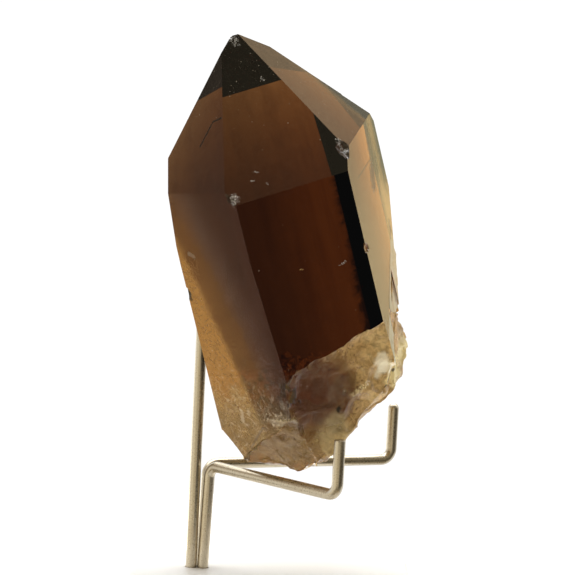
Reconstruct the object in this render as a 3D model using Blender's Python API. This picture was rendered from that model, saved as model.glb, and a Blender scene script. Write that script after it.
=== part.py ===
"""Smoky quartz crystal resting in a three-wire display stand.

The crystal is one grown piece: a six-sided prism closed by six pyramid faces
at the top and broken off along a rough, milky fracture at the foot. It leans
against a straight wire post and sits on two wire arms with upturned tips. The
three wires stand in blind holes in a plain rectangular base.

Axes: origin at the centre of the underside of the base, +Z up, -Y the side
the crystal is looked at from.
"""
import math

import bmesh
import bpy
from mathutils import Matrix, Vector, noise

MM = 0.001
# Blender's vector noise changes with the clock unless it is seeded; this is the kept solids' seed
noise.seed_set(1795477526)

# --- base --------------------------------------------------------------
BASE_WIDTH = 56.0
BASE_DEPTH = 52.0
BASE_HEIGHT = 10.0
BASE_EDGE = 0.8
HOLE_DEPTH = 6.0
HOLE_RADIUS = 1.3

# --- wires -------------------------------------------------------------
WIRE_RADIUS = 1.0
WIRE_SIDES = 24
BEND_RADIUS = 2.3
ARM_HEIGHT = 30.6
NEAR_DROP = 0.35
FOOT_Z = BASE_HEIGHT - HOLE_DEPTH + 0.3
POST_FOOT = (-15.95, 9.7)
POST_TOP = (-16.2, 10.55, 76.0)
NEAR_FOOT = (-13.65, 9.7)
NEAR_BEND = (-13.15, 9.7)
NEAR_CORNER = (11.78, -15.4)
NEAR_TIP = 41.0
FAR_FOOT = (-14.1, 12.0)
FAR_BEND = (-13.7, 12.0)
FAR_CORNER = (23.6, 28.9)
FAR_TIP = 42.4

# --- crystal -----------------------------------------------------------
CENTRE = Vector((0.4, -9.2, 68.7))
AXIS_HEADING = (-55.0, 70.2)
FRONT_HEADING = (18.1, -5.9)
PYRAMID_SLOPE = 51.79
# turn about the axis from the front face, distance of the face in mm
PRISM = {"left": (-60, 13.46), "front": (0, 11.84), "right": (60, 17.59),
         "back right": (120, 26.03), "back": (180, 22.99)}
PYRAMID = {"left": (-60, 25.21), "front": (0, 22.50), "right": (60, 29.17),
           "back right": (120, 39.14), "back": (180, 36.58), "back left": (240, 30.88)}


def heading(azimuth, elevation):
    """Unit vector: azimuth from -Y towards +X, elevation upwards, in degrees."""
    a, e = math.radians(azimuth), math.radians(elevation)
    return Vector((math.sin(a) * math.cos(e), -math.cos(a) * math.cos(e), math.sin(e)))


AXIS = heading(*AXIS_HEADING)
FRONT = heading(*FRONT_HEADING)
FRONT = (FRONT - AXIS * FRONT.dot(AXIS)).normalized()


def prism_normal(turn):
    return Matrix.Rotation(math.radians(turn), 3, AXIS) @ FRONT


def pyramid_normal(turn):
    s = math.radians(PYRAMID_SLOPE)
    return AXIS * math.cos(s) + prism_normal(turn) * math.sin(s)


# --- helpers -----------------------------------------------------------
def material(name, colour, roughness, metallic=0.0, transmission=0.0, ior=1.5):
    mat = bpy.data.materials.new(name)
    mat.use_nodes = True
    shader = mat.node_tree.nodes["Principled BSDF"]
    shader.inputs["Base Color"].default_value = (*colour, 1.0)
    shader.inputs["Roughness"].default_value = roughness
    shader.inputs["Metallic"].default_value = metallic
    shader.inputs["Transmission Weight"].default_value = transmission
    shader.inputs["IOR"].default_value = ior
    mat.diffuse_color = (*colour, 1.0)
    return mat


def add_object(name, bm, mat=None):
    bm.normal_update()
    bmesh.ops.recalc_face_normals(bm, faces=bm.faces)
    mesh = bpy.data.meshes.new(name)
    bm.to_mesh(mesh)
    bm.free()
    obj = bpy.data.objects.new(name, mesh)
    bpy.context.scene.collection.objects.link(obj)
    if mat:
        mesh.materials.append(mat)
    return obj


def combine(target, tool, operation):
    """Boolean that consumes the tool object."""
    mod = target.modifiers.new(operation, "BOOLEAN")
    mod.object = tool
    mod.operation = operation
    mod.solver = "EXACT"
    graph = bpy.context.evaluated_depsgraph_get()
    mesh = bpy.data.meshes.new_from_object(target.evaluated_get(graph))
    target.modifiers.clear()
    old = target.data
    target.data = mesh
    bpy.data.meshes.remove(old)
    bpy.data.objects.remove(tool, do_unlink=True)


def block(faces):
    """Closed convex block bounded by (normal, distance in mm from CENTRE) planes."""
    bm = bmesh.new()
    bmesh.ops.create_cube(bm, size=300, matrix=Matrix.Translation(CENTRE))
    for normal, distance in faces:
        geom = bm.verts[:] + bm.edges[:] + bm.faces[:]
        bmesh.ops.bisect_plane(bm, geom=geom, dist=1e-5, plane_co=CENTRE + normal * distance,
                               plane_no=normal, clear_outer=True)
        rim = [e for e in bm.edges if e.is_boundary]
        if rim:
            bmesh.ops.edgeloop_fill(bm, edges=rim)
    bmesh.ops.remove_doubles(bm, verts=bm.verts, dist=1e-3)
    return bm


def bite(target, point, towards, radius, depth, seed=0.0, rough=0.08, flat=1.0):
    """Shell-shaped hollow: a lumpy ball that reaches `depth` mm into the solid."""
    away = Vector(towards).normalized()
    bm = bmesh.new()
    bmesh.ops.create_icosphere(bm, subdivisions=4, radius=1.0)
    tilt = away.to_track_quat("Z", "Y").to_matrix()
    centre = Vector(point) + away * (radius * flat - depth)
    for v in bm.verts:
        lump = 1.0 + rough * noise.noise(v.co * 2.3 + Vector((seed, 3.1 * seed, -seed)))
        v.co = centre + tilt @ Vector((v.co.x, v.co.y, v.co.z * flat)) * radius * lump
    combine(target, add_object("bite", bm), "DIFFERENCE")


def rod(name, path, mat, bend=BEND_RADIUS, round_end=False):
    """Round wire along a path of points in mm, with filleted corners."""
    pts = [Vector(p) for p in path]
    line = [pts[0]]
    for a, b, c in zip(pts, pts[1:], pts[2:]):
        u, v = (a - b).normalized(), (c - b).normalized()
        half = u.angle(v) / 2
        back = bend / math.tan(half)
        middle = b + (u + v).normalized() * bend / math.sin(half)
        start, end = b + u * back - middle, b + v * back - middle
        sweep = start.angle(end)
        turn = start.cross(end).normalized()
        for i in range(11):
            line.append(middle + Matrix.Rotation(sweep * i / 10, 3, turn) @ start)
    line.append(pts[-1])
    radii = [WIRE_RADIUS] * len(line)
    last = (line[-1] - line[-2]).normalized()
    tip = line.pop()
    radii.pop()
    steps = (0.0, 0.35, 0.65, 0.87, 0.97) if round_end else (0.0, 0.12)
    size = WIRE_RADIUS if round_end else 0.18
    for s in steps:
        line.append(tip - last * size * (1 - s if round_end else (0.18 - s) / 0.18))
        radii.append(WIRE_RADIUS * math.sqrt(1 - s * s) if round_end else WIRE_RADIUS - s)
    bm = bmesh.new()
    rings = []
    side = None
    for i, (p, r) in enumerate(zip(line, radii)):
        ahead = line[min(i + 1, len(line) - 1)] - line[max(i - 1, 0)]
        ahead.normalize()
        side = side or ahead.orthogonal().normalized()
        side = (side - ahead * side.dot(ahead)).normalized()
        other = ahead.cross(side)
        ring = []
        for k in range(WIRE_SIDES):
            t = 2 * math.pi * k / WIRE_SIDES
            ring.append(bm.verts.new(p + (side * math.cos(t) + other * math.sin(t)) * r))
        rings.append(ring)
    for one, two in zip(rings, rings[1:]):
        for k in range(WIRE_SIDES):
            n = (k + 1) % WIRE_SIDES
            bm.faces.new((one[k], one[n], two[n], two[k]))
    bm.faces.new(rings[0][::-1])
    bm.faces.new(rings[-1])
    return add_object(name, bm, mat)


# --- start from an empty scene -------------------------------------------
for old in list(bpy.data.objects):
    bpy.data.objects.remove(old, do_unlink=True)

quartz = material("smoky quartz", (0.30, 0.16, 0.07), 0.05, transmission=0.9, ior=1.55)
steel = material("stainless wire", (0.62, 0.58, 0.52), 0.3, metallic=1.0)
frosted = material("pale acrylic", (0.93, 0.92, 0.90), 0.35)

# --- base ----------------------------------------------------------------
bm = bmesh.new()
size = Matrix.Diagonal((BASE_WIDTH, BASE_DEPTH, BASE_HEIGHT, 1.0))
bmesh.ops.create_cube(bm, size=1.0, matrix=Matrix.Translation((0, 0, BASE_HEIGHT / 2)) @ size)
bmesh.ops.bevel(bm, geom=bm.edges[:], offset=BASE_EDGE, segments=3, profile=0.5, affect="EDGES")
base = add_object("base", bm, frosted)
for x, y in (POST_FOOT, NEAR_FOOT, FAR_FOOT):
    bm = bmesh.new()
    bmesh.ops.create_cone(bm, cap_ends=True, segments=24, radius1=HOLE_RADIUS, radius2=HOLE_RADIUS,
                          depth=2 * HOLE_DEPTH, matrix=Matrix.Translation((x, y, BASE_HEIGHT)))
    combine(base, add_object("hole", bm), "DIFFERENCE")

# --- wires ---------------------------------------------------------------
rod("support_post", [(*POST_FOOT, FOOT_Z), (*POST_FOOT, BASE_HEIGHT + 0.5), POST_TOP], steel, round_end=True)
rod("near_arm", [(*NEAR_FOOT, FOOT_Z), (*NEAR_FOOT, BASE_HEIGHT + 0.5), (*NEAR_BEND, ARM_HEIGHT),
                 (*NEAR_CORNER, ARM_HEIGHT - NEAR_DROP), (*NEAR_CORNER, NEAR_TIP)], steel)
rod("far_arm", [(*FAR_FOOT, FOOT_Z), (*FAR_FOOT, BASE_HEIGHT + 0.5), (*FAR_BEND, ARM_HEIGHT),
                (*FAR_CORNER, ARM_HEIGHT), (*FAR_CORNER, FAR_TIP)], steel, round_end=True)

# --- crystal: the faceted body --------------------------------------------
FRACTURE = heading(21.4, -10.6)
body = [(prism_normal(turn), d) for turn, d in PRISM.values()]
body += [(pyramid_normal(turn), d) for turn, d in PYRAMID.values()]
body += [
    (heading(-97.2, -8.4), 19.52),      # back left prism face, upper part
    (heading(-104.0, -11.5), 18.12),      # back left prism face, lower part
    (heading(-41.9, -21.8), 13.03),     # lower half of the left face, slightly tapered
    (FRACTURE, 12.96),                  # main fracture, low on the front and right
    (heading(92.2, 3.2), 20.38),        # split along the right-hand edge
    (heading(87.0, -37.4), 27.84),      # underside, right
    (heading(-94.4, -82.4), 36.14),     # underside, resting on the arms
    (heading(84.5, -65.6), 35.16),      # underside, front right
    (heading(-82.5, -38.8), 26.27),     # bevelled lower left corner
    (heading(-35.2, -30.4), 16.75),     # flake off the foot of the left face
]
crystal = add_object("crystal", block(body), quartz)

# shoulder behind the right face, thinning downwards
combine(crystal, add_object("shoulder", block([
    (prism_normal(60), 17.5), (pyramid_normal(60), 29.1), (pyramid_normal(120), 39.05),
    (heading(126.0, -8.5), 23.44), (prism_normal(180), 14.3), (prism_normal(-60), -19.5),
    (heading(125.0, -70.2), 11.4)])), "UNION")

# plate and bulge standing off the lower right edge
combine(crystal, add_object("plate", block([
    (prism_normal(60), 17.2), (heading(91.5, 4.2), 21.91), (heading(94.5, 24.9), 22.77),
    (heading(52.2, -76.2), 11.66), (prism_normal(180), 16.0), (prism_normal(0), 6.0),
    (heading(-90.0, 0.0), -12.0)])), "UNION")
combine(crystal, add_object("bulge", block([
    (heading(70.0, 5.0), 18.6), (heading(92.9, 25.2), 18.53), (heading(90.5, -8.2), 25.99),
    (heading(93.5, 69.3), 4.39), (heading(87.1, -43.9), 28.8), (heading(22.4, -12.1), 12.7),
    (heading(176.0, 4.0), 16.5), (prism_normal(0), 7.0), (heading(-90.0, 0.0), -12.0)])), "UNION")

# small chips on edges and corners: point, direction, radius, depth
for i, (point, towards, radius, depth) in enumerate([
        ((-10.6, -26.6, 85.8), (-0.3, -1.0, 0.3), 2.6, 0.75),
        ((9.6, -18.3, 96.2), (0.6, -1.0, 0.5), 2.6, 0.7),
        ((-12.2, -10.0, 115.3), (-0.6, -1.0, 0.5), 1.8, 0.45),
        ((-19.2, -9.6, 66.0), (-1.0, -0.5, 0.0), 3.0, 0.75),
        ((15.0, -17.4, 78.4), (1.0, -0.6, 0.0), 4.0, 0.5),
        ((22.2, 4.4, 96.0), (1.0, 0.0, 0.4), 5.0, 0.7)]):
    bite(crystal, point, towards, radius, depth, seed=20.0 + 2.1 * i, rough=0.2)

# --- crystal: the rough break ------------------------------------------------
def grown(normal):
    """True for the flat faces that the crystal grew, false for broken ones."""
    flat = [prism_normal(t) for t in range(0, 360, 60)] + [pyramid_normal(t) for t in range(0, 360, 60)]
    flat += [heading(-97.2, -8.4), heading(-104.0, -11.5), heading(-41.9, -21.8), heading(126.0, -8.5)]
    return any(normal.dot(n) > 0.9997 for n in flat)


def broken(face):
    """True for faces of the broken foot."""
    middle = face.calc_center_median()
    return middle.z < 76 and not (middle.x < -14 and middle.z > 58) and not grown(face.normal)


RESTS = (Vector((11.9, -13.6, 40.0)), Vector((4.4, -9.0, 31.8)), Vector((3.5, 19.5, 32.0)))


def crumble(co):
    """Depth in mm, 0 to about 1, that the break is worn in at a point."""
    cell = noise.cell_vector(co * 0.19 + Vector((0.3, 0.8, 0.1)) + noise.noise_vector(co * 0.23) * 0.35)
    ledge = noise.cell_vector(co * 0.36 + noise.noise_vector(co * 0.4) * 0.3)
    swell = noise.noise(co * 0.16 + Vector((4.0, 0.0, 2.0)))
    grain = noise.noise(co * 0.75)
    sound = min(1.0, min((co - rest).length for rest in RESTS) / 4.0)
    return sound * (0.45 * cell.x + 0.30 * ledge.y + 0.8 * abs(swell) + 0.18 * grain)


bm = bmesh.new()
bm.from_mesh(crystal.data)
bm.normal_update()
for direction, step in ((heading(30, 35), 1.5), (heading(-60, -20), 1.55), (heading(70, -30), 1.6)):
    for i in range(-34, 35):
        faces = [f for f in bm.faces if broken(f)]
        parts = {v for f in faces for v in f.verts} | {e for f in faces for e in f.edges}
        bmesh.ops.bisect_plane(bm, geom=list(parts) + faces, dist=0.02, plane_no=direction,
                               plane_co=CENTRE + direction * (i * step + 0.37))
bmesh.ops.triangulate(bm, faces=[f for f in bm.faces if broken(f)])
bm.normal_update()
moves = {}
for v in bm.verts:
    rough_faces = [f for f in v.link_faces if broken(f)]
    if not rough_faces:
        continue
    out = sum((f.normal * f.calc_area() for f in rough_faces), Vector()).normalized()
    worn = crumble(v.co)
    shift = noise.noise_vector(v.co * 0.6) * 0.35 * min(1.0, 3 * abs(worn)) - out * worn
    for turn in range(4):
        for f in v.link_faces:
            if not broken(f):
                shift -= f.normal * shift.dot(f.normal)
    moves[v] = shift
for v, shift in moves.items():
    v.co += shift
bmesh.ops.triangulate(bm, faces=bm.faces[:])
bm.to_mesh(crystal.data)
bm.free()

# --- from millimetres to metres ---------------------------------------------
for obj in bpy.data.objects:
    obj.data.transform(Matrix.Scale(MM, 4))
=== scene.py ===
"""Smoky quartz crystal in a three-wire display stand: the looks.

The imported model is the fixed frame. The crystal and the wires are replaced by
finer meshes of the same shapes; the base keeps its own solid.
All lengths are in metres, +Z up, and -Y is the side the camera is on.
"""
import math
import random

import bmesh
import bpy
import numpy as np
from mathutils import Matrix, Vector, noise
from mathutils.kdtree import KDTree


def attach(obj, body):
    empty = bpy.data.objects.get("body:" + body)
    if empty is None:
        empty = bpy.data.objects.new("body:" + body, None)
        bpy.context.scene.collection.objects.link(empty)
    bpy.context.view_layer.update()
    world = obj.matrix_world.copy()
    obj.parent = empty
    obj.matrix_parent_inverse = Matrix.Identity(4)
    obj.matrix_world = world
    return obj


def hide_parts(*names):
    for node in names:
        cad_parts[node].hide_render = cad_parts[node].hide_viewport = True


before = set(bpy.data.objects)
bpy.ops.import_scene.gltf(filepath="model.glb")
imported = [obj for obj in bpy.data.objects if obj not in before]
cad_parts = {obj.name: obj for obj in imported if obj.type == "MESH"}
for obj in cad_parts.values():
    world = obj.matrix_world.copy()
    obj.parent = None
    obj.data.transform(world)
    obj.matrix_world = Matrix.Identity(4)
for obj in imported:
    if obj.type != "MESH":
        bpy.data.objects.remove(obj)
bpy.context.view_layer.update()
scene = bpy.context.scene
MM = 0.001

# --- camera ----------------------------------------------------------------
TARGET = Vector((0.4, -9.2, 68.7)) * MM
CAMERA_DISTANCE = 456 * MM
CAMERA_ELEVATION = 5.2
CAMERA_ROLL = 3.0
SENSOR = 36.0              # mm
LENS = 150.26              # mm

# --- crystal: shape -----------------------------------------------------------
FACET_AREA = 12.0          # mm2: flat areas larger than this are grown faces
FLAT_DOT = 0.9998          # how nearly parallel the parts of one grown face are
FLAT_GAP = 0.012           # mm: how far they may lie off its plane
STEP_LENGTH = 2.0          # mm: longer slivers between grown faces are growth steps
BREAK_DETAIL = 0.50 * MM   # longest edge on the rough break
BREAK_CREASE = 30.0        # degrees: sharper edges of the break stay creased
# conchoidal scoops on the break: place in mm, radius of the ball, depth in mm
SCOOPS = (
    ((6.6, -16.3, 49.9), 13.0, 1.2),
    ((12.8, -15.5, 55.5), 17.0, 0.6),
    ((17.6, -13.9, 59.5), 9.0, 0.45),
    ((19.7, -12.1, 54.3), 6.0, 0.6),
    ((14.6, -13.2, 46.0), 8.0, 0.7),
    ((8.0, -14.3, 41.5), 10.0, 0.9),
    ((2.5, -11.5, 37.0), 7.0, 0.8),
    ((-2.4, -9.8, 39.3), 11.0, 0.8),
    ((22.4, -3.6, 62.1), 6.0, 0.6),
    ((23.0, -3.4, 55.7), 7.0, 0.6),
    ((8.0, 2.0, 34.0), 14.0, 1.4),
    ((14.0, 12.0, 38.0), 15.0, 1.5),
    ((4.0, 18.0, 33.0), 10.0, 1.2),
    ((20.0, 8.0, 50.0), 12.0, 1.2),
    ((14.6, -16.4, 60.2), 3.5, 0.9),
    ((8.2, -17.6, 57.2), 4.5, 0.9),
    ((4.4, -17.6, 52.9), 3.0, 0.7),
)
SMALL_SCOOPS = 420
SMALL_RADIUS = (1.2, 5.5)  # mm
SMALL_DEPTH = (0.03, 0.11)  # shares of the radius
SCOOP_SEED = 11
SHINGLE_SIZE = 3.0         # mm: flat chips between the scoops
SHINGLE_EDGE = 0.22        # how soft the steps between the chips are, in chip sizes
SPLIT_TURNS = 6            # most rounds of splitting the break's long edges
SPREAD_TURNS = 14          # how far the outward directions of the break are evened out
SLIDE_TURNS = 6            # rounds that bring a moved point back onto its grown faces
UNFOLD_TURNS = 25          # most rounds of smoothing where the carved break folds over
SHARPEST = math.radians(105.0)   # sharpest angle left between two faces of the break
HACKLE_LINE = Vector((-0.40, -0.02, -0.91))   # the ridges of the break run along it
NOISE_SEED = 1795483919    # Blender's vector noise changes with the clock unless it is seeded
noise.seed_set(NOISE_SEED)

# --- crystal: looks -------------------------------------------------------------
QUARTZ_IOR = 1.55
PRISM_LINE = Vector((-0.28, -0.22, 0.935))   # the prism's edges, and its streaks, run along it
SMOKE = (0.58, 0.35, 0.03)
SMOKE_DENSITY = 184.0
# tints of the clear faces, and painted shade on them
CLEAR = (1.0, 1.0, 1.0)
MOTTLE = (0.66, 0.52, 0.34)
STREAK = (0.48, 0.34, 0.18)
SHADE = (0.0, 0.0, 0.0)
PAINTED_SHADE_STRIP = (0.015, 0.010, 0.005)
# films, stains, chips and dust, and painted light and shade
MILKY = (0.95, 0.64, 0.25)
LIT_BAND_TAN = (0.90, 0.48, 0.13)
CRUST = (1.0, 0.84, 0.42)
WHITE = (0.95, 0.93, 0.88)
PALE = (0.97, 0.88, 0.64)
PLATE = (0.78, 0.73, 0.58)
CREAM = (0.72, 0.55, 0.28)
DIRT = (0.12, 0.075, 0.04)
PAINTED_LIGHT_CREAM = (1.0, 0.62, 0.25)
CAP_HAZE = (0.34, 0.22, 0.12)
STAIN = (0.22, 0.13, 0.06)
VEIL = (0.95, 0.86, 0.68)
CLOT = (0.14, 0.085, 0.045)
DARK_RIM_SHADE = (0.05, 0.05, 0.03)
RIM_SHADE = (0.45, 0.28, 0.09)
CAP_RIM_SHADE = (0.26, 0.17, 0.08)
DARK = (0.010, 0.007, 0.004)
BROWN = (0.45, 0.30, 0.13)
CHIP = (0.10, 0.07, 0.04)
DUST = (0.80, 0.72, 0.58)
GRIT = (0.16, 0.10, 0.05)
# outward directions of grown faces: azimuth and elevation in degrees
LEFT_FACE = (-41.9, -21.8)
FRONT_FACE = (18.1, -6.0)
UPPER_LEFT_FACE = (-94.6, 23.8)
RIGHT_FACE = (75.4, 13.1)
RIGHT_CAP = (61.2, 49.5)
TOP_FACE = (5.0, 30.0)
# the painted shade strip starts where x + STRIP_SLOPE * z passes STRIP_START, in mm
STRIP_SLOPE = 0.27
STRIP_START = 32.9
STRIP_SOFTNESS = 1.8       # mm
# soft borders of the films and of the painted light and shade: from where there is none of one to where
# it is whole, in mm
NOISE_SPAN = (0.3, 0.7)    # not mm: most values of a noise lie between these
SHADE_SLOPE = 0.285        # x + SHADE_SLOPE * z is level along the front face's left edge
SHADE_SIDE = (30.0, 15.0)
BAND_SLOPE = 0.516         # the same along the left face's left edge
BAND_CORE = (19.7, 18.1)
BAND_SIDE = (29.0, 19.0)
BAND_TOP = (95.0, 66.0)
BAND_FOOT = (50.0, 42.0)
GLOW_SIDE = (-12.0, -20.0)
MILK_TOP = (51.0, 40.0)
DIRT_TOP = (50.0, 41.0)
INNER_TOP = (56.0, 45.0)   # of the cracks, veils and clots
SKIN_SIDE = (4.0, 18.0)    # of the film on the break
SKIN_TOP = (82.0, 70.0)
CREAM_TOP = (98.0, 74.0)
RIM_SLOPE = 0.11           # y + RIM_SLOPE * z is level along the right face's back edge
RIM_BACK = (11.6, 16.0)
RIM_FOOT = (84.0, 92.0)
DARK_RIM_BACK = (14.4, 18.0)
DARK_RIM_FOOT = (85.0, 95.0)
CAP_RIM_BACK = (-2.4, 1.4)
DARK_CAP_RIM_BACK = (-0.8, 1.8)
BRIGHT_BACK = (8.6, 13.6)
BRIGHT_TOP = (93.0, 85.0)
PLATE_SLOPE = 0.9          # y - PLATE_SLOPE * z is level along the plate's lower edge
PLATE_EDGE = (-67.8, -67.0)
PLATE_TOP = (80.0, 77.0)
DUSTY_TIP = (97.0, 109.0)
DUSTY_FOOT = (60.0, 42.0)
GRITTY_FOOT = (56.0, 44.0)
# marks on the surface: from and to in mm, radius in mm, colour, how opaque
MARKS = (
    ((-10.3, -26.4, 86.8), (-9.5, -25.4, 84.4), 0.70, WHITE, 0.9),
    ((8.5, -17.9, 97.2), (9.9, -17.6, 95.6), 0.6, WHITE, 0.9),
    ((-12.3, -9.2, 115.0), (-11.4, -10.4, 114.4), 0.7, WHITE, 0.5),
    ((-6.9, -23.0, 91.0), (-6.1, -22.9, 90.8), 0.16, WHITE, 0.7),
    ((-7.3, -24.0, 89.2), (-6.7, -24.0, 89.5), 0.18, WHITE, 0.7),
    ((-4.4, -23.9, 89.0), (-4.1, -23.9, 88.8), 0.16, WHITE, 0.7),
    ((-6.6, -12.9, 108.2), (-6.1, -13.1, 107.6), 0.25, WHITE, 0.7),
    ((10.0, -19.4, 74.2), (10.9, -19.0, 75.0), 0.22, WHITE, 0.55),
    ((2.5, -21.5, 73.2), (15.5, -15.6, 76.7), 0.11, MILKY, 0.40),
    ((-15.0, -16.6, 99.5), (-17.2, -16.7, 94.7), 0.13, DARK, 1.0),
    ((-13.5, -17.7, 100.3), (-15.0, -16.6, 99.5), 0.13, DARK, 1.0),
    ((-18.3, -14.3, 74.5), (-17.4, -14.8, 74.1), 0.45, STAIN, 0.7),
    ((-18.7, -9.2, 67.9), (-17.9, -10.1, 65.6), 0.45, DARK, 0.7),
    ((13.9, -0.9, 99.1), (14.6, -1.4, 95.0), 1.00, STAIN, 0.45),
    ((15.2, -1.3, 93.0), (15.4, -2.0, 91.5), 1.20, STAIN, 0.45),
    ((15.4, -2.0, 91.5), (15.8, -2.9, 89.2), 1.80, STAIN, 0.60),
    ((12.5, -14.3, 90.4), (14.1, -6.3, 92.4), 0.20, STAIN, 0.30),
    ((14.1, -6.3, 92.4), (15.1, -1.0, 93.8), 0.20, STAIN, 0.30),
    ((19.5, 4.3, 81.5), (19.8, 4.5, 80.2), 0.60, STAIN, 0.55),
    ((19.8, 4.5, 80.2), (20.0, 3.2, 78.6), 0.50, STAIN, 0.60),
    ((19.8, 4.5, 80.2), (20.1, 5.8, 79.0), 0.40, STAIN, 0.50),
    ((19.9, 0.3, 75.6), (19.9, -7.6, 67.2), 0.20, DARK, 0.45),
    ((19.9, -7.6, 67.2), (20.2, -9.5, 62.0), 0.30, DARK, 0.65),
    ((20.2, -9.5, 62.0), (22.6, -4.6, 56.5), 0.30, DARK, 0.7),
    ((22.6, -4.6, 56.5), (21.2, -8.3, 53.3), 0.28, DARK, 0.8),
    ((21.2, -8.3, 53.3), (19.9, -11.2, 50.3), 0.28, DARK, 0.7),
    ((11.2, -14.1, 46.7), (11.4, -14.1, 46.2), 0.45, DARK, 0.9),
    ((13.8, -13.6, 49.4), (16.6, -13.1, 51.6), 0.65, CRUST, 0.8),
    ((16.6, -13.1, 51.6), (18.8, -12.2, 53.1), 0.50, WHITE, 0.7),
    ((2.7, -18.3, 51.5), (3.6, -17.8, 50.4), 0.60, CRUST, 0.7),
    ((3.6, -17.8, 50.4), (5.2, -16.9, 51.1), 0.60, CRUST, 0.7),
    ((4.4, -17.7, 49.3), (3.6, -17.8, 46.9), 0.50, CRUST, 0.6),
    ((-0.3, -14.1, 43.7), (2.4, -16.7, 44.3), 0.30, CRUST, 0.35),
    ((-1.0, -13.3, 43.4), (3.7, -16.4, 43.7), 0.65, VEIL, 0.15),
    ((-2.9, -10.7, 41.8), (-5.0, -6.4, 37.2), 0.22, CLOT, 0.55),
    ((-1.9, -11.3, 41.6), (-2.9, -10.7, 41.8), 0.20, CLOT, 0.50),
    ((-6.8, -7.6, 42.6), (-7.2, -8.4, 44.4), 0.45, VEIL, 0.22),
    ((2.4, -16.7, 44.3), (4.6, -16.7, 44.8), 0.35, CRUST, 0.6),
    ((4.6, -16.7, 44.8), (7.7, -15.5, 46.5), 0.40, CRUST, 0.6),
    ((7.7, -15.5, 46.5), (9.6, -14.6, 46.3), 0.35, CRUST, 0.5),
)
# wide patches: place in mm, radius in mm, colour, how opaque, only on the break
PATCHES = (
    ((19.2, -12.7, 55.8), 1.5, PALE, 0.60, True),
    ((20.0, -12.0, 54.4), 1.6, PALE, 0.75, True),
    ((18.8, -12.2, 53.1), 1.3, PALE, 0.60, True),
    ((21.0, -12.0, 52.0), 1.8, CRUST, 0.80, True),
    ((22.8, -6.0, 53.5), 3.2, CRUST, 0.85, True),
    ((24.0, -1.0, 57.5), 3.0, CRUST, 0.80, True),
    ((23.2, -1.5, 61.0), 2.4, BROWN, 0.45, True),
    ((-10.0, -26.0, 85.6), 2.4, CHIP, 0.35, True),
    ((9.3, -17.8, 96.2), 2.0, CHIP, 0.45, True),
    ((-11.9, -9.3, 115.2), 1.8, WHITE, 0.15, True),
    ((11.5, -14.0, 41.0), 3.8, CRUST, 0.22, True),
)
# the glassy, brown hollow of the break: place and radius in mm
CLEAR_HOLLOW = (8.4, -15.8, 48.8)
HOLLOW_RADIUS = 7.2
BUMP_DEPTH = 0.06 * MM     # of the grain on the break

# --- wires and base: lengths and places in mm -----------------------------------
WIRE_RADIUS = 1.1
WIRE_SIDES = 40
BEND_RADIUS = 2.3
BEND_STEPS = 14
DOME_STEPS = 9             # rings of a domed end
DOME_QUARTER = 8.6         # rings to a quarter turn, so that the last ring isn't a point
# rings of a cut end: distance back from the end, and how much smaller than the wire
CUT_RINGS = ((0.20, 0.0), (0.10, 0.03), (0.03, 0.09), (0.0, 0.18))
FOOT_Z = 4.3               # the wires stand in holes in the base
RISE_Z = 10.5              # they leave its top upright
POST_PATH = ((-15.95, 9.7, FOOT_Z), (-15.95, 9.7, RISE_Z), (-16.2, 10.55, 76.0))
NEAR_PATH = ((-13.65, 9.7, FOOT_Z), (-13.65, 9.7, RISE_Z), (-13.15, 9.7, 30.6),
             (11.78, -15.4, 30.25), (11.78, -15.4, 41.0))
FAR_PATH = ((-14.1, 12.0, FOOT_Z), (-14.1, 12.0, RISE_Z), (-13.7, 12.0, 30.6),
            (23.6, 28.9, 30.6), (23.6, 28.9, 42.4))
STEEL = (0.62, 0.55, 0.42)
STEEL_LIGHT = (0.68, 0.61, 0.48)
TARNISH = (0.50, 0.41, 0.29)
ACRYLIC = (0.96, 0.95, 0.925)
ACRYLIC_WARM = (0.955, 0.94, 0.89)
SCUFFED = (0.90, 0.885, 0.85)

# --- light and floor ----------------------------------------------------------
SEEN_BACKDROP = (1.05, 1.05, 1.05)
ROOM_BACK = (1.0, 1.0, 1.0)
ROOM_FRONT = (0.24, 0.205, 0.14)
ROOM_TOP = (3.5, 3.5, 3.5)
ROOM_LOW = (0.40, 0.33, 0.22)
FLOOR_RADIUS = 0.15
FLOOR_DROP = 0.0002        # under the base, so that the two surfaces don't coincide
FLOOR_GLOW = 0.3
CARD_EDGE = 8.0            # degrees: how softly the cards end
# azimuth, elevation, half width and half height in degrees, and radiance
ROOM_CARDS = (
    (38.0, -16.0, 12.0, 10.0, (0.06, 0.06, 0.06)),
    (12.0, 58.0, 20.0, 12.0, (0.31, 0.26, 0.17)),
    (-58.0, -4.0, 26.0, 20.0, (0.95, 0.87, 0.70)),
    (-10.0, -6.0, 24.0, 8.0, (0.68, 0.60, 0.45)),
    (80.0, -5.0, 30.0, 7.0, (0.07, 0.06, 0.04)),
    (-98.0, 24.0, 12.0, 9.0, (0.42, 0.33, 0.24)),
    (-98.0, -36.0, 12.0, 9.0, (0.36, 0.30, 0.22)),
    (155.0, 30.0, 9.0, 8.0, (0.32, 0.28, 0.20)),
    (153.0, 3.0, 9.0, 8.0, (0.66, 0.60, 0.36)),
    (-154.0, -51.0, 12.0, 8.0, (1.75, 1.65, 1.50)),
    (-132.0, -20.0, 10.0, 8.0, (3.5, 3.3, 2.9)),
)


def direction(azimuth, elevation):
    """Unit vector: azimuth from -Y towards +X, elevation upwards, in degrees."""
    a, e = math.radians(azimuth), math.radians(elevation)
    return Vector((math.sin(a) * math.cos(e), -math.cos(a) * math.cos(e), math.sin(e)))


def add_object(name, bm, *materials):
    mesh = bpy.data.meshes.new(name)
    bm.to_mesh(mesh)
    bm.free()
    for mat in materials:
        mesh.materials.append(mat)
    obj = bpy.data.objects.new(name, mesh)
    scene.collection.objects.link(obj)
    return obj


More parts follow.
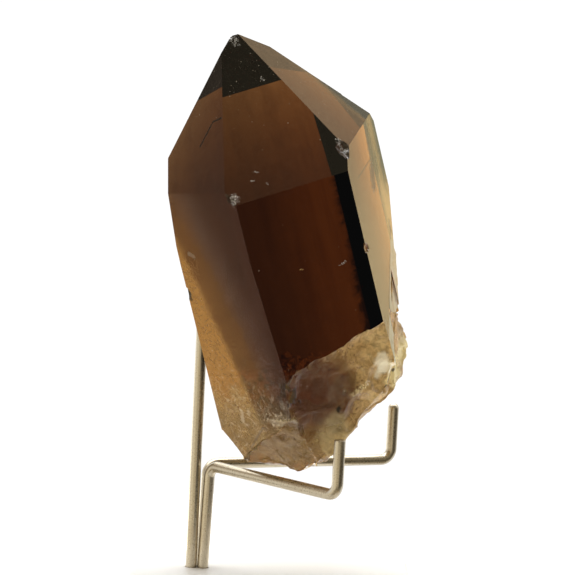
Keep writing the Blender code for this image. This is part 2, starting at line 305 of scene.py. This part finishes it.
# --- materials ---------------------------------------------------------------
class Nodes:
    """Short calls for building one material's or world's node tree."""

    def __init__(self, tree):
        self.tree = tree

    def add(self, kind, **settings):
        node = self.tree.nodes.new("ShaderNode" + kind)
        for key, value in settings.items():
            setattr(node, key, value)
        return node

    def feed(self, socket, value):
        if isinstance(value, bpy.types.NodeSocket):
            self.tree.links.new(value, socket)
        elif value is not None:
            socket.default_value = value

    def math(self, operation, a, b=None, c=None, clamp=False):
        node = self.add("Math", operation=operation, use_clamp=clamp)
        for socket, value in zip(node.inputs, (a, b, c)):
            self.feed(socket, value)
        return node.outputs[0]

    def vector(self, operation, a, b=None, scale=None):
        node = self.add("VectorMath", operation=operation)
        self.feed(node.inputs[0], a)
        if b is not None:
            self.feed(node.inputs[1], b)
        if scale is not None:
            self.feed(node.inputs["Scale"], scale)
        return node.outputs["Value" if operation in ("DOT_PRODUCT", "LENGTH", "DISTANCE") else "Vector"]

    def ramp(self, value, low, high, to_low=0.0, to_high=1.0, smooth=True):
        node = self.add("MapRange", interpolation_type="SMOOTHSTEP" if smooth else "LINEAR")
        for socket, item in zip(node.inputs, (value, low, high, to_low, to_high)):
            self.feed(socket, item)
        return node.outputs[0]

    def mix(self, factor, a, b):
        node = self.add("Mix", data_type="RGBA")
        self.feed(node.inputs["Factor"], factor)
        for socket, value in ((node.inputs[6], a), (node.inputs[7], b)):
            self.feed(socket, (*value, 1.0) if isinstance(value, tuple) and len(value) == 3 else value)
        return node.outputs[2]

    def noise(self, vector, scale, detail=4.0, roughness=0.5, distortion=0.0):
        node = self.add("TexNoise")
        for key, value in (("Vector", vector), ("Scale", scale), ("Detail", detail),
                           ("Roughness", roughness), ("Distortion", distortion)):
            self.feed(node.inputs[key], value)
        return node.outputs["Fac"]


def new_material(name):
    mat = bpy.data.materials.new(name)
    mat.use_nodes = True
    return mat, Nodes(mat.node_tree), mat.node_tree.nodes["Principled BSDF"]


def line_mark(n, place, start, end, radius, wobble):
    """1 within a radius of a line between two places in mm, 0 outside, with a ragged rim."""
    start, along = Vector(start), Vector(end) - Vector(start)
    from_start = n.vector("SUBTRACT", place, start)
    part = n.vector("DOT_PRODUCT", from_start, along / along.length_squared)
    part = n.math("MULTIPLY", part, 1.0, clamp=True)
    nearest = n.vector("SCALE", along, scale=part)
    away = n.vector("LENGTH", n.vector("SUBTRACT", from_start, nearest))
    away = n.math("ADD", away, n.math("MULTIPLY", wobble, radius))
    return n.ramp(away, radius * 1.3, radius * 0.7)


def patch(n, place, centre, radius, wobble):
    """1 at a place in mm, fading softly to 0 about a radius away."""
    away = n.vector("DISTANCE", place, centre)
    away = n.math("ADD", away, n.math("MULTIPLY", wobble, radius))
    return n.ramp(away, radius * 1.35, radius * 0.75)


def facing(n, normal, azimuth, elevation):
    """1 on the flat faces that look in one direction."""
    return n.ramp(n.vector("DOT_PRODUCT", normal, direction(azimuth, elevation)), 0.985, 0.995)


def specks(n, place, density, share, bias, smallest, largest):
    """1 on round specks in a share of the cells of a pattern; a higher bias makes more of them small."""
    cells = n.add("TexVoronoi", distance="EUCLIDEAN")
    n.feed(cells.inputs["Vector"], place)
    n.feed(cells.inputs["Scale"], density)
    chosen = n.add("SeparateColor")
    n.feed(chosen.inputs[0], cells.outputs["Color"])
    picked = n.math("LESS_THAN", chosen.outputs[0], share)
    size = n.math("POWER", chosen.outputs[1], bias)
    size = n.ramp(size, 0.0, 1.0, smallest, largest, smooth=False)
    return n.math("MULTIPLY", n.math("LESS_THAN", cells.outputs["Distance"], size), picked)


def quartz_material():
    mat, n, shader = new_material("smoky_quartz")
    place = n.vector("SCALE", n.add("TexCoord").outputs["Object"], scale=1.0 / MM)
    split = n.add("SeparateXYZ")
    n.feed(split.inputs[0], place)
    x, y, z = split.outputs
    normal = n.add("NewGeometry").outputs["True Normal"]
    broken = n.add("Attribute", attribute_name="broken").outputs["Fac"]
    whole = n.math("SUBTRACT", 1.0, broken)
    cloud = n.noise(place, 0.10, 4.0, 0.55, 0.4)
    veil = n.noise(place, 0.33, 5.0, 0.60, 0.8)
    grain = n.noise(place, 1.7, 4.0, 0.6)
    ragged = n.math("MULTIPLY", n.math("SUBTRACT", grain, 0.5), 3.0)
    drift = n.math("SUBTRACT", veil, 0.5)
    on_left = n.math("MULTIPLY", whole, facing(n, normal, *LEFT_FACE))
    on_front = n.math("MULTIPLY", whole, facing(n, normal, *FRONT_FACE))

    # tint of the clear faces: mottled and streaked smoke, with painted shade darkening the left of the
    # front face
    colour = n.mix(n.ramp(cloud, 0.35, 0.65, 0.0, 0.14), CLEAR, MOTTLE)
    along = n.vector("SCALE", PRISM_LINE, scale=n.math(
        "MULTIPLY", n.vector("DOT_PRODUCT", place, PRISM_LINE), -0.92))
    streak = n.noise(n.vector("ADD", place, along), 0.38, 4.0, 0.6)
    colour = n.mix(n.ramp(streak, 0.42, 0.68, 0.0, 0.45), colour, STREAK)
    from_edge = n.math("ADD", x, n.math("MULTIPLY", z, SHADE_SLOPE))
    from_edge = n.math("ADD", from_edge, n.math("MULTIPLY", drift, 6.0))
    painted_front_shade = n.math("MULTIPLY", on_front, n.ramp(from_edge, *SHADE_SIDE, 0.0, 0.60))
    colour = n.mix(painted_front_shade, colour, SHADE)

    # painted shade: a near-black strip at the right of the front and top faces, with a soft, ragged left
    # edge
    on_top = n.math("MULTIPLY", whole, facing(n, normal, *TOP_FACE))
    past = n.math("ADD", x, n.math("MULTIPLY", z, STRIP_SLOPE))
    past = n.math("ADD", past, n.math("MULTIPLY", drift, 4.0))
    strip = n.ramp(past, STRIP_START - STRIP_SOFTNESS, STRIP_START)
    strip = n.math("MULTIPLY", strip, n.math("ADD", on_front, on_top))
    colour = n.mix(strip, colour, PAINTED_SHADE_STRIP)

    # painted light: a brighter tan stripe along the left side of the left face, and a painted glow on the
    # upper left face
    side = n.math("ADD", x, n.math("MULTIPLY", z, BAND_SLOPE))
    side = n.math("ADD", side, n.math("MULTIPLY", drift, 1.4))
    lit_band = n.math("ADD", n.ramp(side, *BAND_CORE, 0.0, 0.24), n.ramp(side, *BAND_SIDE, 0.006, 0.12))
    wisp = n.noise(place, 0.8, 5.0, 0.65, 1.0)
    lit_band = n.math("MULTIPLY", lit_band, n.ramp(wisp, *NOISE_SPAN, 0.82, 1.14, smooth=False))
    fade = n.math("MULTIPLY", n.ramp(z, *BAND_TOP, 0.50, 1.0), n.ramp(z, *BAND_FOOT, 1.0, 0.8))
    lit_band = n.math("MULTIPLY", n.math("MULTIPLY", lit_band, fade), on_left)
    on_upper_left = n.math("MULTIPLY", whole, facing(n, normal, *UPPER_LEFT_FACE))
    glow = n.math("MULTIPLY", on_upper_left, n.ramp(x, *GLOW_SIDE, 0.0, 0.20))
    lit_band = n.math("ADD", lit_band, glow)
    colour = n.mix(n.math("MULTIPLY", lit_band, 12.0, clamp=True), colour, LIT_BAND_TAN)

    # the clouded foot
    low = n.math("ADD", z, n.math("MULTIPLY", drift, 14.0))
    foot = n.math("MULTIPLY", n.ramp(low, *MILK_TOP), n.ramp(cloud, *NOISE_SPAN, 0.10, 0.28))
    foot = n.math("MULTIPLY", foot, n.ramp(wisp, *NOISE_SPAN, 0.5, 1.5, smooth=False))
    # the break, thin and glassy in the hollow and thicker to the right
    hollow = patch(n, place, CLEAR_HOLLOW, HOLLOW_RADIUS, drift)
    skin = n.math("MULTIPLY", n.ramp(x, *SKIN_SIDE, 0.18, 0.50), n.ramp(wisp, *NOISE_SPAN, 0.65, 1.35))
    skin = n.math("MULTIPLY", skin, n.math("SUBTRACT", 1.0, n.math("MULTIPLY", hollow, 0.8)))
    skin = n.math("MULTIPLY", skin, n.math("MULTIPLY", broken, n.ramp(z, *SKIN_TOP, 0.15, 1.0)))
    foot = n.math("MULTIPLY", foot, n.math("SUBTRACT", 1.0, hollow))
    milk = n.math("MAXIMUM", foot, skin)
    colour = n.mix(n.math("MULTIPLY", milk, 12.0, clamp=True), colour, MILKY)
    milk = n.math("MAXIMUM", milk, lit_band)
    clear = n.math("SUBTRACT", 1.0, milk)
    roughness = n.math("ADD", n.math("MULTIPLY", broken, n.ramp(veil, *NOISE_SPAN, 0.03, 0.16)),
                       n.math("MULTIPLY", milk, 0.15))

    # brown dirt in the foot's clouded surface
    dirt = n.math("MULTIPLY", n.ramp(low, *DIRT_TOP), n.ramp(veil, 0.35, 0.75, 0.02, 0.34))
    dirt = n.math("MULTIPLY", n.math("MULTIPLY", dirt, whole), n.ramp(wisp, *NOISE_SPAN, 0.5, 1.3))

    # the pale right edge, with painted shade along its rim: darker and greener there
    on_right = n.math("MULTIPLY", whole, facing(n, normal, *RIGHT_FACE))
    on_cap = n.math("MULTIPLY", whole, facing(n, normal, *RIGHT_CAP))
    behind = n.math("ADD", n.math("MULTIPLY", z, RIM_SLOPE), n.math("MULTIPLY", drift, 3.0))
    behind = n.math("ADD", y, behind)
    high = n.math("ADD", z, n.math("MULTIPLY", drift, 8.0))
    rim = n.math("MULTIPLY", on_right, n.ramp(behind, *RIM_BACK))
    rim = n.math("MULTIPLY", rim, n.ramp(high, *RIM_FOOT))
    beside = n.math("ADD", y, n.math("MULTIPLY", drift, 3.0))
    cap_rim_shade = n.math("MULTIPLY", on_cap, n.ramp(beside, *CAP_RIM_BACK))
    dark_rim_shade = n.math("MULTIPLY", n.math("MULTIPLY", on_right, n.ramp(behind, *DARK_RIM_BACK)),
                      n.ramp(high, *DARK_RIM_FOOT))
    dark_rim_shade = n.math("MAXIMUM", dark_rim_shade, n.math("MULTIPLY", on_cap, n.ramp(beside, *DARK_CAP_RIM_BACK)))

    # curved cracks, pale veils and brown clots under the faces of the foot
    inside = n.math("SUBTRACT", whole, n.math("MULTIPLY", on_front, 0.75))
    inside = n.math("MULTIPLY", n.ramp(low, *INNER_TOP), inside)
    crack = n.math("ABSOLUTE", n.math("SUBTRACT", n.noise(place, 0.32, 3.0, 0.55, 1.0), 0.5))
    crack = n.math("MULTIPLY", n.ramp(crack, 0.030, 0.006), n.ramp(wisp, 0.42, 0.62))
    crack = n.math("MULTIPLY", crack, inside)
    shift = n.vector("ADD", place, Vector((31.0, 7.0, 13.0)))
    clot = n.math("MULTIPLY", n.ramp(n.noise(shift, 0.42, 5.0, 0.62, 0.7), 0.52, 0.68), inside)
    shift = n.vector("ADD", place, Vector((-19.0, 23.0, 5.0)))
    pale_veil = n.math("MULTIPLY", n.ramp(n.noise(shift, 0.36, 5.0, 0.62, 1.2), 0.52, 0.70),
                       inside)

    def cover(mask, tint, opacity, rough):
        """Lays a film of a tint over what is there, as opaque as it says where the mask is 1."""
        nonlocal colour, clear, roughness
        mask = n.math("MULTIPLY", mask, opacity)
        clear = n.math("MULTIPLY", clear, n.math("SUBTRACT", 1.0, mask))
        colour = n.mix(n.math("DIVIDE", mask, n.math("SUBTRACT", 1.0, clear), clamp=True), colour, tint)
        roughness = n.math("MAXIMUM", roughness, n.math("MULTIPLY", mask, rough))

    # the right face clouds over to cream towards its lower end
    cream = n.math("MULTIPLY", on_right, n.ramp(high, *CREAM_TOP, 0.08, 0.40))
    cream = n.math("MULTIPLY", cream, n.ramp(wisp, *NOISE_SPAN, 0.75, 1.2, smooth=False))
    cover(dirt, DIRT, 1.0, 0.2)
    cover(clot, CLOT, 0.42, 0.2)
    cover(pale_veil, VEIL, 0.13, 0.2)
    cover(crack, VEIL, 0.24, 0.2)
    cover(cream, CREAM, 1.0, 0.15)
    cover(n.math("MULTIPLY", on_cap, n.ramp(wisp, *NOISE_SPAN, 0.36, 0.50)), CAP_HAZE, 1.0, 0.15)
    # painted light: bright cream towards the right face's back edge, below its top
    bright = n.math("MULTIPLY", on_right, n.ramp(behind, *BRIGHT_BACK))
    bright = n.math("MULTIPLY", bright, n.ramp(high, *BRIGHT_TOP))
    cover(bright, PAINTED_LIGHT_CREAM, 0.80, 0.2)
    # painted shade: darker, greener rims along the right face's back edge and the cap's edge
    cover(rim, RIM_SHADE, 0.85, 0.3)
    cover(cap_rim_shade, CAP_RIM_SHADE, 0.85, 0.3)
    cover(dark_rim_shade, DARK_RIM_SHADE, 0.94, 0.25)
    across = n.math("SUBTRACT", y, n.math("MULTIPLY", z, PLATE_SLOPE))
    plate = n.math("MULTIPLY", n.math("MULTIPLY", on_right, n.ramp(across, *PLATE_EDGE)),
                   n.math("MULTIPLY", n.ramp(z, *PLATE_TOP), n.ramp(veil, 0.3, 0.6, 0.6, 1.0)))
    cover(plate, PLATE, 0.62, 0.3)
    for centre, radius, tint, opacity, only_broken in PATCHES:
        mask = patch(n, place, centre, radius, n.math("MULTIPLY", drift, 1.6))
        cover(n.math("MULTIPLY", mask, broken) if only_broken else mask, tint, opacity, 0.45)
    crumbs = n.ramp(n.noise(place, 5.0, 3.0, 0.6), 0.52, 0.58)
    for start, end, radius, tint, opacity in MARKS:
        mask = line_mark(n, place, start, end, radius, ragged)
        if tint in (WHITE, CRUST):
            mask = n.math("MULTIPLY", mask, crumbs)
        cover(mask, tint, opacity, 0.1 if tint == DARK else 0.5)

    # sparse dust, denser at the apex and the foot, and fewer, darker specks of grit
    share = n.math("ADD", n.ramp(z, *DUSTY_TIP, 0.012, 0.60),
                   n.ramp(z, *DUSTY_FOOT, 0.0, 0.20))
    cover(specks(n, place, 1.8, share, 2.5, 0.05, 0.17), DUST, 0.5, 0.5)
    share = n.math("ADD", n.math("MULTIPLY", lit_band, 0.9), n.ramp(z, *GRITTY_FOOT, 0.0, 0.14))
    cover(specks(n, place, 1.15, share, 1.0, 0.05, 0.15), GRIT, 0.32, 0.3)

    bump = n.add("Bump")
    bump.inputs["Distance"].default_value = BUMP_DEPTH
    n.feed(bump.inputs["Strength"], n.math("MULTIPLY", broken, 0.6))
    n.feed(bump.inputs["Height"], n.math("ADD", veil, grain))
    n.feed(shader.inputs["Normal"], bump.outputs[0])
    n.feed(shader.inputs["Base Color"], colour)
    n.feed(shader.inputs["Transmission Weight"], clear)
    n.feed(shader.inputs["Roughness"], roughness)
    shader.inputs["IOR"].default_value = QUARTZ_IOR
    smoke = n.add("VolumeAbsorption")
    smoke.inputs["Color"].default_value = (*SMOKE, 1.0)
    smoke.inputs["Density"].default_value = SMOKE_DENSITY
    n.tree.links.new(smoke.outputs[0], n.tree.nodes["Material Output"].inputs["Volume"])
    return mat


def steel_material():
    mat, n, shader = new_material("satin_stainless")
    place = n.vector("SCALE", n.add("TexCoord").outputs["Object"], scale=1.0 / MM)
    drawn = n.noise(place, 2.2, 4.0, 0.65)
    fine = n.noise(place, 6.0, 3.0, 0.6)
    tarnish = n.noise(place, 0.18, 3.0, 0.5)
    colour = n.mix(n.ramp(drawn, 0.30, 0.75), STEEL, STEEL_LIGHT)
    colour = n.mix(n.ramp(tarnish, 0.45, 0.75, 0.0, 0.35), colour, TARNISH)
    n.feed(shader.inputs["Base Color"], colour)
    uneven = n.math("ADD", drawn, n.math("MULTIPLY", fine, 0.5))
    n.feed(shader.inputs["Roughness"], n.ramp(uneven, 0.5, 1.0, 0.26, 0.33))
    shader.inputs["Metallic"].default_value = 1.0
    bump = n.add("Bump")
    bump.inputs["Distance"].default_value = 0.003 * MM
    bump.inputs["Strength"].default_value = 0.5
    n.feed(bump.inputs["Height"], n.math("ADD", drawn, n.math("MULTIPLY", fine, 0.4)))
    n.feed(shader.inputs["Normal"], bump.outputs[0])
    return mat


def base_material():
    mat, n, shader = new_material("pale_acrylic")
    place = n.vector("SCALE", n.add("TexCoord").outputs["Object"], scale=1.0 / MM)
    broad = n.noise(place, 0.05, 3.0, 0.5)
    fine = n.noise(place, 3.0, 4.0, 0.6)
    scuff = n.noise(n.vector("MULTIPLY", place, (0.25, 2.5, 1.0)), 1.0, 4.0, 0.7)
    colour = n.mix(n.ramp(broad, 0.35, 0.65), ACRYLIC, ACRYLIC_WARM)
    colour = n.mix(n.ramp(scuff, 0.62, 0.8, 0.0, 0.25), colour, SCUFFED)
    n.feed(shader.inputs["Base Color"], colour)
    n.feed(shader.inputs["Roughness"], n.ramp(n.math("ADD", fine, scuff), 0.7, 1.3, 0.28, 0.46))
    bump = n.add("Bump")
    bump.inputs["Distance"].default_value = 0.02 * MM
    bump.inputs["Strength"].default_value = 0.4
    n.feed(bump.inputs["Height"], fine)
    n.feed(shader.inputs["Normal"], bump.outputs[0])
    return mat


# --- crystal ---------------------------------------------------------------
def grown_faces(bm):
    """Layer "facet": the flat grown faces count from 1, narrow growth steps are -1, the break is 0."""
    facet = bm.faces.layers.int.new("facet")
    number = 0
    seen = set()
    for first in sorted(bm.faces, key=lambda f: -f.calc_area()):
        if first in seen:
            continue
        level = first.normal.dot(first.verts[0].co)
        group, edge_of, inside = [first], [first], {first}
        while edge_of:
            for edge in edge_of.pop().edges:
                for near in edge.link_faces:
                    flat = abs(near.normal.dot(first.normal)) > FLAT_DOT and all(
                        abs(first.normal.dot(v.co) - level) < FLAT_GAP * MM for v in near.verts)
                    if flat and near not in inside and near not in seen:
                        inside.add(near)
                        group.append(near)
                        edge_of.append(near)
        if sum(f.calc_area() for f in group) > FACET_AREA * MM * MM:
            number += 1
            seen |= inside
            for face in group:
                face[facet] = number
    for face in bm.faces:
        long_enough = max(e.calc_length() for e in face.edges) > STEP_LENGTH * MM
        on_grown = all(any(f[facet] > 0 for f in v.link_faces) for v in face.verts)
        if face[facet] == 0 and long_enough and on_grown:
            face[facet] = -1
    return facet


def merge_facets(bm, facet):
    """Makes each grown face one polygon again."""
    inner = [e for e in bm.edges if len(e.link_faces) == 2
             and e.link_faces[0][facet] == e.link_faces[1][facet] > 0]
    bmesh.ops.dissolve_edges(bm, edges=inner, use_verts=False)


def drop_fins(bm):
    """Deletes doubled faces, which stand on one edge and enclose nothing."""
    same = {}
    for face in bm.faces:
        same.setdefault(frozenset(face.verts), []).append(face)
    fins = [face for group in same.values() if len(group) % 2 == 0 for face in group]
    bmesh.ops.delete(bm, geom=fins, context="FACES")


def refine_break(bm, facet):
    """Splits the edges of the break until none is longer than BREAK_DETAIL."""
    for _ in range(SPLIT_TURNS):
        long_edges = [e for e in bm.edges if e.calc_length() > BREAK_DETAIL
                      and any(f[facet] == 0 for f in e.link_faces)]
        if not long_edges:
            break
        bmesh.ops.subdivide_edges(bm, edges=long_edges, cuts=1)
        bmesh.ops.triangulate(bm, faces=[f for f in bm.faces if len(f.verts) > 3 and f[facet] == 0])
        drop_fins(bm)
    bm.normal_update()


def scoop_balls(bm, facet):
    """Centres, radii and depths of all the scoops, the small ones spread by area."""
    rough = [f for f in bm.faces if f[facet] == 0]
    places = KDTree(len(rough))
    for i, face in enumerate(rough):
        places.insert(face.calc_center_median(), i)
    places.balance()
    draw = random.Random(SCOOP_SEED)
    areas = [f.calc_area() for f in rough]
    wanted = [(Vector(place) * MM, radius * MM, depth * MM) for place, radius, depth in SCOOPS]
    for face in draw.choices(rough, weights=areas, k=SMALL_SCOOPS):
        radius = draw.uniform(*SMALL_RADIUS)
        depth = radius * draw.uniform(*SMALL_DEPTH)
        wanted.append((face.calc_center_median(), radius * MM, depth * MM))
    balls = []
    for place, radius, depth in wanted:
        spot, i, _ = places.find(place)
        balls.append((spot + rough[i].normal * (radius - depth), radius, depth))
    return balls


def scoop_depths(points, outs, balls):
    """How far each point goes in, against its outward direction, to leave every ball."""
    points, outs = np.array(points), np.array(outs)
    depths = np.zeros(len(points))
    for centre, radius, depth in balls:
        away = points - np.array(centre)
        b = -(away * outs).sum(axis=1)
        inside = radius * radius - (away * away).sum(axis=1)
        reach = -b + np.sqrt(np.maximum(inside + b * b, 0.0))
        depths = np.where(inside > 0, np.maximum(depths, np.minimum(reach, 1.25 * depth)), depths)
    return depths


def break_relief(point):
    """Fine relief of the break, in metres, at a point in mm."""
    across = point - HACKLE_LINE * point.dot(HACKLE_LINE) * 0.86
    hackle = noise.noise(across * 1.1) + 1.6 * noise.noise(across * 0.45)
    ripple = noise.noise(point * 0.55 + noise.noise_vector(point * 0.3))
    grain = noise.noise(point * 2.8)
    q = point / SHINGLE_SIZE + noise.noise_vector(point * 0.35) * 0.25
    gaps, centres = noise.voronoi(q)
    inner, outer = (1.1 * noise.noise_vector(c * 7.3).dot(q - c) + 0.35 * noise.noise(c * 3.9)
                    for c in centres[:2])
    edge = min((gaps[1] - gaps[0]) / SHINGLE_EDGE, 1.0)
    shingle = outer + (inner - outer) * (0.5 + 0.5 * edge)
    return (0.28 + 0.06 * hackle + 0.07 * ripple + 0.02 * grain + 0.75 * shingle) * MM


def spread(values, pairs, turns):
    """Averages each point's values with its neighbours', a few times over."""
    one, two = pairs.T
    for _ in range(turns):
        total = values * 2.0
        np.add.at(total, one, values[two])
        np.add.at(total, two, values[one])
        counts = 2.0 + np.bincount(pairs.ravel(), minlength=len(values))
        values = total / counts[:, None]
    return values


def slide(v, shift, facet):
    """Moves a point of the break without leaving the grown faces that it is on."""
    for _ in range(SLIDE_TURNS):
        for f in v.link_faces:
            if f[facet] != 0:
                shift = shift - f.normal * shift.dot(f.normal)
    v.co += shift


def carve_break(bm, facet):
    """Moves the break inwards by its scoops and relief; its rims slide along the grown faces."""
    verts = [v for v in bm.verts if any(f[facet] == 0 for f in v.link_faces)]
    number = {v: i for i, v in enumerate(verts)}
    pairs = np.array([[number[v] for v in e.verts] for e in bm.edges
                      if any(f[facet] == 0 for f in e.link_faces)])
    outs = np.array([sum((f.normal * f.calc_area() for f in v.link_faces if f[facet] == 0), Vector())
                     .normalized() for v in verts])
    outs = spread(outs, pairs, SPREAD_TURNS)
    outs /= np.linalg.norm(outs, axis=1)[:, None]
    depths = scoop_depths([v.co for v in verts], outs, scoop_balls(bm, facet))
    depths = spread(depths[:, None], pairs, 1)[:, 0]
    before = {f: f.normal.copy() for f in bm.faces if f[facet] == 0}
    for v, out, depth in zip(verts, outs, depths):
        slide(v, Vector(out) * -(float(depth) + break_relief(v.co / MM)), facet)
    for _ in range(UNFOLD_TURNS):
        for f in before:
            f.normal_update()
        folded = {v for f, normal in before.items() if f.normal.dot(normal) < 0.25 for v in f.verts}
        folded |= {v for e in bm.edges if all(f in before for f in e.link_faces)
                   and e.calc_face_angle(0) > SHARPEST for v in e.verts}
        if not folded:
            break
        for v in (v for v in verts if v in folded):
            near = [e.other_vert(v).co for e in v.link_edges if any(f in before for f in e.link_faces)]
            slide(v, (sum(near, Vector()) / len(near) - v.co) * 0.7, facet)


def crystal_mesh(node, name, material):
    bm = bmesh.new()
    bm.from_mesh(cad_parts[node].data)
    bmesh.ops.remove_doubles(bm, verts=bm.verts, dist=1e-7)
    bmesh.ops.recalc_face_normals(bm, faces=bm.faces)
    facet = grown_faces(bm)
    merge_facets(bm, facet)
    bm.normal_update()
    refine_break(bm, facet)
    carve_break(bm, facet)
    merge_facets(bm, facet)
    bmesh.ops.triangulate(bm, faces=[f for f in bm.faces if len(f.verts) > 3])
    bm.normal_update()
    layer = bm.faces.layers.float.new("broken")
    for face in bm.faces:
        face.smooth = face[facet] == 0
        face[layer] = float(face.smooth)
    for edge in bm.edges:
        faces = edge.link_faces
        edge.smooth = (len(faces) == 2 and faces[0].smooth and faces[1].smooth
                       and edge.calc_face_angle(0) < math.radians(BREAK_CREASE))
    bm.faces.layers.int.remove(facet)
    return add_object(name, bm, material)


# --- wires ---------------------------------------------------------------------
def rounded_path(points, bend):
    """The path in mm with an arc at each corner."""
    line = [points[0]]
    for a, b, c in zip(points, points[1:], points[2:]):
        u, v = (a - b).normalized(), (c - b).normalized()
        half = u.angle(v) / 2
        middle = b + (u + v).normalized() * bend / math.sin(half)
        start = b + u * bend / math.tan(half) - middle
        end = b + v * bend / math.tan(half) - middle
        turn = start.cross(end).normalized()
        for i in range(BEND_STEPS + 1):
            line.append(middle + Matrix.Rotation(start.angle(end) * i / BEND_STEPS, 3, turn) @ start)
    return line + [points[-1]]


def wire(node, name, path, round_end, material):
    """A round wire along a path in mm, ending in a dome or a cut with a small chamfer."""
    line = rounded_path([Vector(p) for p in path], BEND_RADIUS)
    tip = line.pop()
    ahead = (tip - line[-1]).normalized()
    rings = [(p, WIRE_RADIUS) for p in line]
    if round_end:
        for i in range(DOME_STEPS):
            t = math.pi / 2 * i / DOME_QUARTER
            rings.append((tip - ahead * WIRE_RADIUS * (1 - math.sin(t)), WIRE_RADIUS * math.cos(t)))
    else:
        for back, inset in CUT_RINGS:
            rings.append((tip - ahead * back, WIRE_RADIUS - inset))
    bm = bmesh.new()
    side = None
    loops = []
    for i, (p, radius) in enumerate(rings):
        ahead = (rings[min(i + 1, len(rings) - 1)][0] - rings[max(i - 1, 0)][0]).normalized()
        side = side or ahead.orthogonal().normalized()
        side = (side - ahead * side.dot(ahead)).normalized()
        other = ahead.cross(side)
        loop = []
        for k in range(WIRE_SIDES):
            t = 2 * math.pi * k / WIRE_SIDES
            loop.append(bm.verts.new((p + (side * math.cos(t) + other * math.sin(t)) * radius) * MM))
        loops.append(loop)
    for one, two in zip(loops, loops[1:]):
        for k in range(WIRE_SIDES):
            m = (k + 1) % WIRE_SIDES
            bm.faces.new((one[k], one[m], two[m], two[k])).smooth = True
    bm.faces.new(loops[0][::-1])
    bm.faces.new(loops[-1])
    for edge in bm.edges:
        edge.smooth = edge.calc_face_angle(0) < math.radians(BREAK_CREASE)
    piece = add_object(name, bm, material)
    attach(piece, "root")
    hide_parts(node)


# --- lights, floor and camera --------------------------------------------------
def make_world():
    """White to the camera; all else sees a light room with soft cards, some dark and some bright."""
    world = bpy.data.worlds.new("studio")
    scene.world = world
    world.use_nodes = True
    n = Nodes(world.node_tree)
    background = world.node_tree.nodes["Background"]
    coords = n.add("TexCoord").outputs["Generated"]
    split = n.add("SeparateXYZ")
    n.feed(split.inputs[0], coords)
    x, y, z = split.outputs
    azimuth = n.math("ARCTAN2", x, n.math("MULTIPLY", y, -1.0))
    elevation = n.math("ARCSINE", n.math("MINIMUM", n.math("MAXIMUM", z, -1.0), 1.0))
    light = n.mix(n.ramp(y, -0.30, 0.25), ROOM_FRONT, ROOM_BACK)
    high = n.math("MULTIPLY", n.ramp(elevation, math.radians(34), math.radians(50)),
                  n.ramp(y, -0.1, 0.2))
    high = n.math("MAXIMUM", high, n.ramp(elevation, math.radians(74), math.radians(80)))
    light = n.mix(high, light, ROOM_TOP)
    low = n.math("MULTIPLY", n.ramp(elevation, math.radians(-36), math.radians(-50)),
                 n.ramp(y, 0.25, -0.05))
    light = n.mix(low, light, ROOM_LOW)
    for card_azimuth, card_elevation, width, height, radiance in ROOM_CARDS:
        turn = n.math("WRAP", n.math("SUBTRACT", azimuth, math.radians(card_azimuth)), math.pi, -math.pi)
        across = n.math("ABSOLUTE", turn)
        along = n.math("ABSOLUTE", n.math("SUBTRACT", elevation, math.radians(card_elevation)))
        soft = math.radians(CARD_EDGE)
        inside = n.math("MULTIPLY", n.ramp(across, math.radians(width) + soft, math.radians(width)),
                        n.ramp(along, math.radians(height) + soft, math.radians(height)))
        light = n.mix(inside, light, radiance)
    seen = n.add("LightPath").outputs["Is Camera Ray"]
    n.feed(background.inputs["Color"], n.mix(seen, light, SEEN_BACKDROP))


def make_floor():
    bm = bmesh.new()
    bmesh.ops.create_circle(bm, cap_ends=True, segments=96, radius=FLOOR_RADIUS)
    mat, _, shader = new_material("floor")
    shader.inputs["Base Color"].default_value = (0.9, 0.9, 0.9, 1)
    shader.inputs["Roughness"].default_value = 0.8
    shader.inputs["Emission Color"].default_value = (1, 1, 1, 1)
    shader.inputs["Emission Strength"].default_value = FLOOR_GLOW
    floor = add_object("floor", bm, mat)
    floor.location.z = -FLOOR_DROP
    floor.visible_glossy = False
    floor.visible_transmission = False


def make_camera():
    camera = bpy.data.cameras.new("camera")
    camera.sensor_width = SENSOR
    camera.lens = LENS
    camera.clip_start = 0.01
    obj = bpy.data.objects.new("camera", camera)
    scene.collection.objects.link(obj)
    roll = math.radians(CAMERA_ROLL)
    towards = direction(0, CAMERA_ELEVATION)
    side = Vector((1, 0, 0))
    up = towards.cross(side)
    right = side * math.cos(roll) + up * math.sin(roll)
    up = towards.cross(right)
    turn = Matrix((right, up, towards)).transposed()
    obj.matrix_world = Matrix.Translation(TARGET + towards * CAMERA_DISTANCE) @ turn.to_4x4()
    scene.camera = obj


quartz = quartz_material()
steel = steel_material()
acrylic = base_material()
crystal = crystal_mesh("crystal", "quartz_crystal", quartz)
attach(crystal, "root")
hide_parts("crystal")
wire("support_post", "post_wire", POST_PATH, True, steel)
wire("near_arm", "near_wire", NEAR_PATH, False, steel)
wire("far_arm", "far_wire", FAR_PATH, True, steel)
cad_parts["base"].data.materials.clear()
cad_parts["base"].data.materials.append(acrylic)
make_world()
make_floor()
make_camera()
scene.view_settings.view_transform = "Standard"
scene.cycles.use_denoising = True
scene.cycles.sampling_pattern = "TABULATED_SOBOL"
scene.cycles.max_bounces = 24
scene.cycles.transmission_bounces = 24
